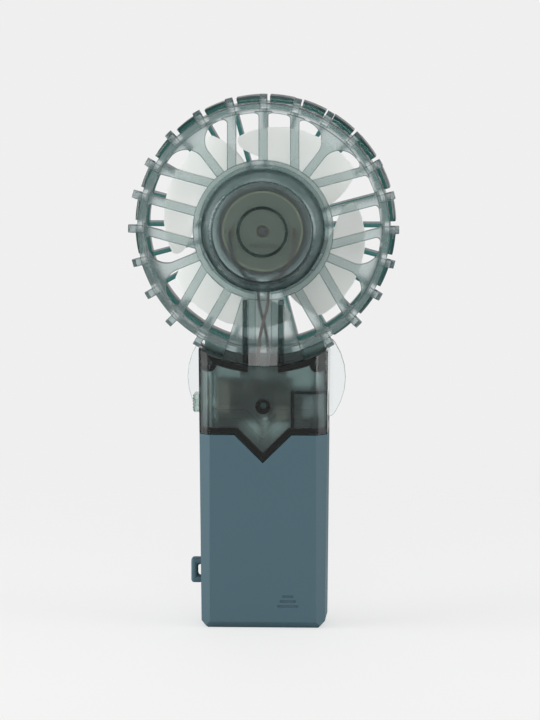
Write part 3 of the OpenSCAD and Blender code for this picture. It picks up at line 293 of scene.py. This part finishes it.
def metal(name, colour, roughness, streak, spread=0.08, sway=0.08):
    """Bare or plated metal: fine streaks from rolling or turning break up its gloss.

    The colour wanders by the spread, as a share, and the roughness by the sway."""
    made, tree, out = new_material(name)
    place = add(tree, "ShaderNodeTexCoord").outputs["Object"]
    drawn = add(tree, "ShaderNodeMapping", {"Vector": place, "Scale": STREAKED})
    streaks = add(
        tree, "ShaderNodeTexNoise", {"Vector": drawn.outputs["Vector"], "Scale": 1 / streak, "Detail": 4.0}
    )
    shade = add(
        tree,
        "ShaderNodeMix",
        {"Factor": streaks.outputs["Fac"], "A": rgba(colour, 1 - spread), "B": rgba(colour, 1 + spread)},
        data_type="RGBA",
    )
    rough = add(
        tree,
        "ShaderNodeMapRange",
        {"Value": streaks.outputs["Fac"], "To Min": roughness - sway, "To Max": roughness + sway},
    )
    shader = add(
        tree,
        "ShaderNodeBsdfPrincipled",
        {"Base Color": shade.outputs["Result"], "Metallic": 1.0, "Roughness": rough.outputs["Result"]},
    )
    tree.links.new(shader.outputs["BSDF"], out.inputs["Surface"])
    return made


def banded(name, colour, other, pitch, roughness, metallic, direction, bump):
    """Lines side by side, repeated at a pitch, such as wound wire, pressed foil or printed tracks."""
    made, tree, out = new_material(name)
    place = add(tree, "ShaderNodeTexCoord").outputs["Object"]
    lines = add(
        tree,
        "ShaderNodeTexWave",
        {"Vector": place, "Scale": math.tau / (pitch * WAVE_RATE), "Distortion": 0.6},
        bands_direction=direction,
    )
    shade = add(
        tree,
        "ShaderNodeMix",
        {"Factor": lines.outputs["Fac"], "A": rgba(other), "B": rgba(colour)},
        data_type="RGBA",
    )
    relief = add(tree, "ShaderNodeBump", {"Height": lines.outputs["Fac"], "Distance": bump, "Strength": 0.6})
    shader = add(
        tree,
        "ShaderNodeBsdfPrincipled",
        {
            "Base Color": shade.outputs["Result"],
            "Metallic": metallic,
            "Roughness": roughness,
            "Normal": relief.outputs["Normal"],
        },
    )
    tree.links.new(shader.outputs["BSDF"], out.inputs["Surface"])
    return made


def smooth_faces(node):
    """Shades a moulding's curved faces as one skin, and keeps the edges between them crisp."""
    group = bpy.data.node_groups.new("Smooth faces", "GeometryNodeTree")
    group.interface.new_socket("Geometry", in_out="INPUT", socket_type="NodeSocketGeometry")
    group.interface.new_socket("Geometry", in_out="OUTPUT", socket_type="NodeSocketGeometry")
    shape = add(group, "NodeGroupInput").outputs["Geometry"]
    shape = add(group, "GeometryNodeMergeByDistance", {"Geometry": shape, "Distance": JOIN_GAP})
    shape = add(group, "GeometryNodeRemoveAttribute", {"Geometry": shape.outputs[0], "Name": "custom_normal"})
    shape = add(group, "GeometryNodeSetShadeSmooth", {"Geometry": shape.outputs[0]}, domain="FACE")
    bend = add(group, "GeometryNodeInputMeshEdgeAngle").outputs["Unsigned Angle"]
    crisp = add(group, "FunctionNodeCompare", {"A": bend, "B": CRISP_BEND}, operation="GREATER_THAN")
    shape = add(
        group,
        "GeometryNodeSetShadeSmooth",
        {"Geometry": shape.outputs[0], "Selection": crisp.outputs["Result"], "Shade Smooth": False},
        domain="EDGE",
    )
    add(group, "NodeGroupOutput", {"Geometry": shape.outputs[0]})
    node.modifiers.new("Smooth faces", "NODES").node_group = group


def dress(material, edge, *names, segments=3):
    """Gives CAD nodes their finish, and eases their edges where a width is given."""
    for name in names:
        node = NODES[name]
        for place in node.material_slots:
            place.material = material
        if edge:
            joined = node.modifiers.new("Join faces", "WELD")
            joined.merge_threshold = JOIN_GAP
            flat = node.modifiers.new("Flat faces", "DECIMATE")
            flat.decimate_type = "DISSOLVE"
            flat.angle_limit = FLAT_BEND
            eased = node.modifiers.new("Eased edges", "BEVEL")
            eased.width = edge
            eased.segments = segments
            eased.limit_method = "ANGLE"
            eased.angle_limit = CRISP_BEND
            eased.use_clamp_overlap = True
            eased.harden_normals = True


class MINIFAN_OT_sleeve(bpy.types.Operator):
    """Dresses the handle sleeve, the lanyard eye and the front badge"""

    bl_idname = "minifan.sleeve"
    bl_label = "Handle sleeve"

    def execute(self, context):
        colours, sizes = context.scene.fan_colours, context.scene.fan_sizes
        # ABS with a spark-eroded texture: matt, even, with a soft broad sheen on the bevels
        matt = moulded(
            "Matt ABS eroded",
            colours.sleeve,
            roughness=0.52,
            grain=sizes.grain,
            bump=0.03 * MM,
            spread=0.025,
        )
        dress(matt, sizes.sleeve_edge, "handle_sleeve")
        dress(matt, sizes.edge, "front_badge")
        dress(matt, sizes.eye_edge, "lanyard_eye", segments=4)
        return {"FINISHED"}


class MINIFAN_OT_housing(bpy.types.Operator):
    """Dresses the neck housing's two halves and their screws"""

    bl_idname = "minifan.housing"
    bl_label = "Neck housing"

    def execute(self, context):
        sizes = context.scene.fan_sizes
        # Smoke polycarbonate, polished outside and left with tool marks inside: darkens with depth, and
        # painted shade darkens its walls that lean away from the fan axis
        low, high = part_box("housing_rear")
        finish = {
            "roughness": 0.06,
            "sides": (0.1, 0.19, 0.2),
            "lean": (0.62, 0.3),
            "frost": 0.34,
            "limits": {"X": high.x - sizes.skin, "Y": -low.y - sizes.skin},
        }
        smoke = clear("Smoke polycarbonate housing", absorbed=(0.31, 0.235, 0.245), **finish)
        dress(smoke, sizes.edge, "housing_rear")
        # The front half is moulded in a deeper smoke
        deep = clear("Deep smoke polycarbonate", absorbed=(0.68, 0.52, 0.54), **finish)
        dress(deep, sizes.edge, "housing_front")
        # Zinc-plated steel: pale and slightly streaked
        zinc = metal("Zinc-plated steel", linear("#b9bcbe"), roughness=0.35, streak=0.3 * MM)
        dress(zinc, sizes.small_edge, "housing_screws")
        return {"FINISHED"}


class MINIFAN_OT_guard(bpy.types.Operator):
    """Dresses the rear grille, the drum, the front guard, the wire cover and the motor cap"""

    bl_idname = "minifan.guard"
    bl_label = "Guards and cap"

    def execute(self, context):
        sizes = context.scene.fan_sizes
        # Smoke polycarbonate with a satin skin: its thin ribs look pale grey-green and blur what lies behind,
        # and painted shade darkens their walls and draws a dark line along their edges
        pale = clear(
            "Smoke polycarbonate satin",
            absorbed=(0.22, 0.165, 0.17),
            roughness=0.24,
            sides=(0.05, 0.09, 0.1),
            lean=(0.995, 0.88),
            outline=sizes.rib_shade_line,
            coat=0.7,
        )
        dress(pale, sizes.edge, "rear_grille")
        # The front guard is moulded from a deeper teal batch, with painted shade on its walls and edges
        teal = clear(
            "Teal polycarbonate", absorbed=(0.56, 0.3, 0.315), roughness=0.05, sides=(0.1, 0.25, 0.25)
        )
        dress(teal, sizes.edge, "front_grille")
        # The drum is water-clear, with faint painted shade on its walls and edges
        water = clear(
            "Clear polycarbonate", absorbed=(0.006, 0.004, 0.004), roughness=0.03, sides=(0.9, 0.94, 0.94)
        )
        dress(water, sizes.edge, "head_drum")
        # The wire cover is a dark smoke, and painted shade makes its walls and edges almost black
        dark = clear(
            "Dark smoke polycarbonate", absorbed=(0.5, 0.38, 0.39), roughness=0.06, sides=(0.03, 0.06, 0.06)
        )
        dress(dark, sizes.small_edge, "wire_cover")
        # The cap is polished outside and blasted inside, so the motor behind it is blurred, and its walls
        # carry faint painted shade
        low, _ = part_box("motor_cap")
        hazy = clear(
            "Smoke polycarbonate hazy",
            absorbed=(0.29, 0.215, 0.215),
            roughness=0.06,
            sides=(0.78, 0.84, 0.84),
            frost=0.3,
            limits={"Y": -low.y - sizes.skin},
        )
        dress(hazy, sizes.edge, "motor_cap")
        return {"FINISHED"}


class MINIFAN_OT_front_plate(bpy.types.Operator):
    """Dresses the clear front plate"""

    bl_idname = "minifan.front_plate"
    bl_label = "Front plate"

    def execute(self, context):
        sizes = context.scene.fan_sizes
        # Cast acrylic: almost colourless, with a faint cool tint, and painted shade darkens its edges
        acrylic = clear(
            "Clear acrylic", absorbed=(0.035, 0.014, 0.014), roughness=0.03, sides=(0.22, 0.3, 0.3), ior=1.49
        )
        dress(acrylic, sizes.plate_edge, "front_plate")
        return {"FINISHED"}


class MINIFAN_OT_impeller(bpy.types.Operator):
    """Dresses the impeller"""

    bl_idname = "minifan.impeller"
    bl_label = "Impeller"

    def execute(self, context):
        colours = context.scene.fan_colours
        # Polypropylene: white, waxy and slightly see-through
        waxy = moulded(
            "White polypropylene",
            colours.blade,
            roughness=0.42,
            grain=0.6 * MM,
            bump=0.01 * MM,
            spread=0.02,
            **{"Subsurface Weight": 0.25, "Subsurface Radius": (1, 1, 1), "Subsurface Scale": 1.2 * MM},
        )
        dress(waxy, 0, "fan_blade")
        smooth_faces(NODES["fan_blade"])
        return {"FINISHED"}


class MINIFAN_OT_motor(bpy.types.Operator):
    """Dresses the motor inside and out"""

    bl_idname = "minifan.motor"
    bl_label = "Motor"

    def execute(self, context):
        colours, sizes = context.scene.fan_colours, context.scene.fan_sizes
        # Nickel-plated sheet: satin, drawn along the axis
        nickel = metal("Nickel-plated sheet", colours.motor, roughness=0.42, streak=0.4 * MM)
        dress(nickel, sizes.small_edge, "motor_can")
        # Ivory nylon, painted down to an olive grey as shade, where it sits under the cap
        nylon = moulded("Ivory nylon", colours.end_cap, roughness=0.6, grain=0.3 * MM, bump=0.01 * MM)
        dress(nylon, sizes.small_edge, "motor_end_cap")
        # Ground steel with fine marks from turning, painted dark as shade, where it sits under the cap
        ground = metal("Ground steel", linear("#55585a"), roughness=0.36, streak=0.15 * MM)
        dress(ground, 0, "motor_shaft")
        # Stacked electrical sheet: bands across the axis, much coarser than the real sheets
        core = banded(
            "Laminated steel",
            linear("#8b8e90"),
            linear("#5d6062"),
            pitch=3.1416 * MM,
            roughness=0.45,
            metallic=0.9,
            direction="Y",
            bump=0.03 * MM,
        )
        dress(core, 0, "motor_armature")
        # Sintered bronze, stamped brass and turned copper; the first two are painted dark as shade, where
        # they sit under the cap
        bronze = metal("Sintered bronze", linear("#4f4230"), roughness=0.5, streak=0.2 * MM)
        dress(bronze, 0, "motor_bushes")
        brass = metal("Stamped brass", linear("#7a6a42"), roughness=0.34, streak=0.3 * MM)
        dress(brass, 0, "motor_terminals")
        copper = metal("Turned copper", linear("#b87a48"), roughness=0.3, streak=0.2 * MM)
        dress(copper, 0, "motor_commutator")
        # Enamelled wire laid side by side, drawn much coarser than the real 0.2 mm
        wound = banded(
            "Enamelled copper wire",
            linear("#b46a3c"),
            linear("#5e2f1a"),
            pitch=2.5133 * MM,
            roughness=0.3,
            metallic=0.8,
            direction="X",
            bump=0.1 * MM,
        )
        dress(wound, 0, "motor_windings")
        # Pressed ferrite: dark grey and dry
        ferrite = moulded(
            "Pressed ferrite", linear("#4a4644"), roughness=0.75, grain=0.4 * MM, bump=0.02 * MM
        )
        dress(ferrite, 0, "motor_magnets")
        return {"FINISHED"}


class MINIFAN_OT_wires(bpy.types.Operator):
    """Rounds and dresses the wires"""

    bl_idname = "minifan.wires"
    bl_label = "Wires"

    def execute(self, context):
        colours = context.scene.fan_colours
        # PVC insulation: smooth with a dull gloss
        finish = {"roughness": 0.4, "grain": 0.5 * MM, "bump": 0.005 * MM}
        red = moulded("Red PVC", colours.red_wire, **finish)
        black = moulded("Black PVC", colours.black_wire, **finish)
        dress(red, 0, "motor_wire_red", "battery_leads")
        dress(black, 0, "motor_wire_black")
        for name in ("motor_wire_red", "motor_wire_black", "battery_leads"):
            joined = NODES[name].modifiers.new("Join faces", "WELD")
            joined.merge_threshold = JOIN_GAP
            smooth = NODES[name].modifiers.new("Round wire", "SUBSURF")
            smooth.levels = smooth.render_levels = 2
        return {"FINISHED"}


class MINIFAN_OT_electronics(bpy.types.Operator):
    """Dresses the circuit board, what stands on it, and the charging socket"""

    bl_idname = "minifan.electronics"
    bl_label = "Electronics"

    def execute(self, context):
        colours, sizes = context.scene.fan_colours, context.scene.fan_sizes
        # Glass-epoxy laminate under solder mask, with tracks that show as paler lines
        board = banded(
            "Solder mask",
            colours.board,
            linear("#3a4a42"),
            pitch=10.053 * MM,
            roughness=0.4,
            metallic=0.0,
            direction="DIAGONAL",
            bump=0.03 * MM,
        )
        dress(board, 0, "circuit_board", "cell_board")
        # Fired ceramic, black epoxy and a milky lens: small, dull and even
        ceramic = moulded(
            "Ceramic chips", linear("#8d8578"), roughness=0.5, grain=0.3 * MM, bump=0.01 * MM
        )
        dress(ceramic, sizes.small_edge, "board_parts")
        epoxy = moulded(
            "Epoxy moulding", linear("#1d1f21"), roughness=0.55, grain=0.2 * MM, bump=0.01 * MM
        )
        dress(epoxy, sizes.small_edge, "control_chip")
        lens = moulded(
            "Diffused lens", linear("#e9efe8"), roughness=0.35, grain=0.3 * MM, bump=0.005 * MM
        )
        dress(lens, sizes.small_edge, "charge_led")
        # Stainless shell, drawn from sheet, and its black liquid-crystal polymer tongue
        shell = metal("Drawn stainless steel", linear("#8f9497"), roughness=0.36, streak=0.3 * MM)
        dress(shell, sizes.shell_edge, "charging_socket")
        tongue = moulded(
            "Black polymer", linear("#1d1f21"), roughness=0.5, grain=0.2 * MM, bump=0.01 * MM
        )
        dress(tongue, 0, "socket_tongue")
        return {"FINISHED"}


class MINIFAN_OT_switch(bpy.types.Operator):
    """Dresses the slide switch and its knob"""

    bl_idname = "minifan.switch"
    bl_label = "Slide switch"

    def execute(self, context):
        sizes = context.scene.fan_sizes
        # Tinned sheet round a slider of natural acetal
        tinned = metal("Tinned sheet", linear("#857e76"), roughness=0.4, streak=0.3 * MM)
        dress(tinned, 0, "switch_frame")
        acetal = moulded(
            "Natural acetal", linear("#d9dcd8"), roughness=0.45, grain=0.3 * MM, bump=0.01 * MM
        )
        dress(acetal, 0, "switch_slider")
        # The knob is the housing's smoke plastic in a paler batch, with painted shade on its walls and edges
        knob = clear(
            "Pale polycarbonate", absorbed=(0.1, 0.066, 0.08), roughness=0.06, sides=(0.4, 0.5, 0.48)
        )
        dress(knob, sizes.small_edge, "slide_knob", segments=2)
        return {"FINISHED"}


class MINIFAN_OT_battery(bpy.types.Operator):
    """Dresses the battery cell and its foam"""

    bl_idname = "minifan.battery"
    bl_label = "Battery"

    def execute(self, context):
        colours, sizes = context.scene.fan_colours, context.scene.fan_sizes
        # Aluminium laminate: silvery, with faint press lines
        foil = banded(
            "Aluminium laminate",
            colours.foil,
            linear("#868f93"),
            pitch=12.566 * MM,
            roughness=0.35,
            metallic=0.7,
            direction="X",
            bump=0.02 * MM,
        )
        dress(foil, sizes.cell_edge, "battery_cell")
        # Open-cell foam: dark and dry, with pores of about half a millimetre
        foam = moulded(
            "Polyurethane foam", linear("#3a3d3f"), roughness=0.95, grain=0.5 * MM, bump=0.3 * MM
        )
        dress(foam, 0, "battery_foam")
        return {"FINISHED"}


class MINIFAN_OT_stage(bpy.types.Operator):
    """Sets the floor, the soft light and the camera"""

    bl_idname = "minifan.stage"
    bl_label = "Stage"

    def execute(self, context):
        scene = context.scene
        self.make_floor(scene)
        self.make_world(scene)
        self.make_lamps(scene)
        self.make_camera(scene)
        scene.view_settings.view_transform = "Standard"
        return {"FINISHED"}

    def make_floor(self, scene):
        """A round of matt paper that fades into the backdrop and keeps the fan's shadow."""
        # Share and level of the floor's own pale colour where the camera sees it
        pale_share, pale_level = 0.6, 1.14
        # Share of the floor's radius within which it hides the backdrop fully
        full_share = 0.3
        radius = scene.fan_view.floor_radius
        mesh = bpy.data.meshes.new("floor")
        shape = bmesh.new()
        bmesh.ops.create_circle(shape, cap_ends=True, segments=96, radius=radius)
        shape.to_mesh(mesh)
        shape.free()
        floor = bpy.data.objects.new("floor", mesh)
        scene.collection.objects.link(floor)
        made, tree, out = new_material("Matt paper")
        place = add(tree, "ShaderNodeTexCoord").outputs["Object"]
        away = add(tree, "ShaderNodeVectorMath", {0: place}, operation="LENGTH")
        shown = add(
            tree,
            "ShaderNodeMapRange",
            {"Value": away.outputs["Value"], "From Min": radius, "From Max": radius * full_share},
            interpolation_type="SMOOTHSTEP",
        )
        paper = add(tree, "ShaderNodeBsdfDiffuse", {"Color": rgba(scene.fan_colours.floor)})
        pale = {"Color": rgba(scene.fan_colours.floor), "Strength": pale_level}
        glow = add(tree, "ShaderNodeEmission", pale)
        seen = add(tree, "ShaderNodeLightPath").outputs["Is Camera Ray"]
        seen = add(tree, "ShaderNodeMath", {0: seen, 1: pale_share}, operation="MULTIPLY")
        paper = add(
            tree,
            "ShaderNodeMixShader",
            {0: seen.outputs["Value"], 1: paper.outputs["BSDF"], 2: glow.outputs["Emission"]},
        )
        bare = add(tree, "ShaderNodeBsdfTransparent")
        mixed = add(
            tree,
            "ShaderNodeMixShader",
            {0: shown.outputs["Result"], 1: bare.outputs["BSDF"], 2: paper.outputs["Shader"]},
        )
        tree.links.new(mixed.outputs["Shader"], out.inputs["Surface"])
        mesh.materials.append(made)

    def make_world(self, scene):
        """Pale backdrop for what is seen, a dimmer one for what is mirrored, and soft light."""
        world = bpy.data.worlds.new("Studio")
        world.use_nodes = True
        tree = world.node_tree
        tree.nodes.clear()
        out = add(tree, "ShaderNodeOutputWorld")
        ray = add(tree, "ShaderNodeLightPath").outputs
        floor = rgba(scene.fan_colours.floor)
        light = add(tree, "ShaderNodeBackground", {"Color": (1, 1, 1, 1), "Strength": 0.4})
        pale = add(tree, "ShaderNodeBackground", {"Color": floor, "Strength": 1.0})
        dim = add(tree, "ShaderNodeBackground", {"Color": floor, "Strength": 0.45})
        through = add(
            tree,
            "ShaderNodeMath",
            {0: ray["Is Camera Ray"], 1: ray["Is Transmission Ray"]},
            operation="MAXIMUM",
        )
        mixed = add(
            tree,
            "ShaderNodeMixShader",
            {0: ray["Is Glossy Ray"], 1: light.outputs["Background"], 2: dim.outputs["Background"]},
        )
        mixed = add(
            tree,
            "ShaderNodeMixShader",
            {0: through.outputs["Value"], 1: mixed.outputs["Shader"], 2: pale.outputs["Background"]},
        )
        tree.links.new(mixed.outputs["Shader"], out.inputs["Surface"])
        scene.world = world

    def make_lamps(self, scene):
        """Soft boxes in front, at both sides, behind and overhead."""
        middle = Vector((0, 0, 90 * MM))
        # Place and size in millimetres, and power in watts
        boxes = {
            "front_box": ((60, -900, 460), 620, 1.7),
            "left_box": ((-680, -220, 240), 760, 3.8),
            "right_box": ((680, -220, 220), 640, 2.2),
            "back_box": ((-80, 900, 500), 620, 1.6),
            "top_box": ((0, -120, 760), 600, 0.5),
        }
        for name, (place, size, power) in boxes.items():
            lamp = bpy.data.lights.new(name, "AREA")
            lamp.shape = "DISK"
            lamp.size = size * MM
            lamp.energy = power
            box = bpy.data.objects.new(name, lamp)
            box.location = Vector(place) * MM
            # The box behind lights the side away from the camera, and doesn't glare in the clear plastics
            box.visible_glossy = box.visible_transmission = name != "back_box"
            box.rotation_euler = (middle - box.location).to_track_quat("-Z", "Y").to_euler()
            scene.collection.objects.link(box)

    def make_camera(self, scene):
        """A long lens at the photograph's viewing angle."""
        view = scene.fan_view
        a, e = view.azimuth, view.elevation
        back = Vector((math.sin(a) * math.cos(e), -math.cos(a) * math.cos(e), math.sin(e)))
        data = bpy.data.cameras.new("photograph")
        data.sensor_width = SENSOR
        data.lens = view.pixels_per_mm / MM * view.distance * SENSOR / max(PHOTO_SIZE)
        data.clip_start, data.clip_end = 0.01, 20
        camera = bpy.data.objects.new("photograph", data)
        camera.location = Vector((view.aim_x, 0, view.aim_z)) + back * view.distance
        camera.rotation_euler = (-back).to_track_quat("-Z", "Y").to_euler()
        scene.collection.objects.link(camera)
        scene.camera = camera


STEPS = (
    MINIFAN_OT_sleeve,
    MINIFAN_OT_housing,
    MINIFAN_OT_guard,
    MINIFAN_OT_front_plate,
    MINIFAN_OT_impeller,
    MINIFAN_OT_motor,
    MINIFAN_OT_wires,
    MINIFAN_OT_electronics,
    MINIFAN_OT_switch,
    MINIFAN_OT_battery,
    MINIFAN_OT_stage,
)


class MINIFAN_PT_panel(bpy.types.Panel):
    """Lists the steps that dress the fan"""

    bl_idname = "MINIFAN_PT_panel"
    bl_label = "Mini fan"
    bl_space_type = "VIEW_3D"
    bl_region_type = "UI"
    bl_category = "Mini fan"

    def draw(self, context):
        for step in STEPS:
            self.layout.operator(step.bl_idname)


GROUPS = {"fan_colours": FanColours, "fan_sizes": FanSizes, "fan_view": FanView}


def register():
    for name, group in GROUPS.items():
        bpy.utils.register_class(group)
        setattr(bpy.types.Scene, name, bpy.props.PointerProperty(type=group))
    for step in (*STEPS, MINIFAN_PT_panel):
        bpy.utils.register_class(step)


def unregister():
    for step in reversed((*STEPS, MINIFAN_PT_panel)):
        bpy.utils.unregister_class(step)
    for name, group in reversed(GROUPS.items()):
        delattr(bpy.types.Scene, name)
        bpy.utils.unregister_class(group)


def main():
    register()
    bpy.ops.minifan.sleeve()
    bpy.ops.minifan.housing()
    bpy.ops.minifan.guard()
    bpy.ops.minifan.front_plate()
    bpy.ops.minifan.impeller()
    bpy.ops.minifan.motor()
    bpy.ops.minifan.wires()
    bpy.ops.minifan.electronics()
    bpy.ops.minifan.switch()
    bpy.ops.minifan.battery()
    bpy.ops.minifan.stage()


if __name__ == "__main__":
    main()
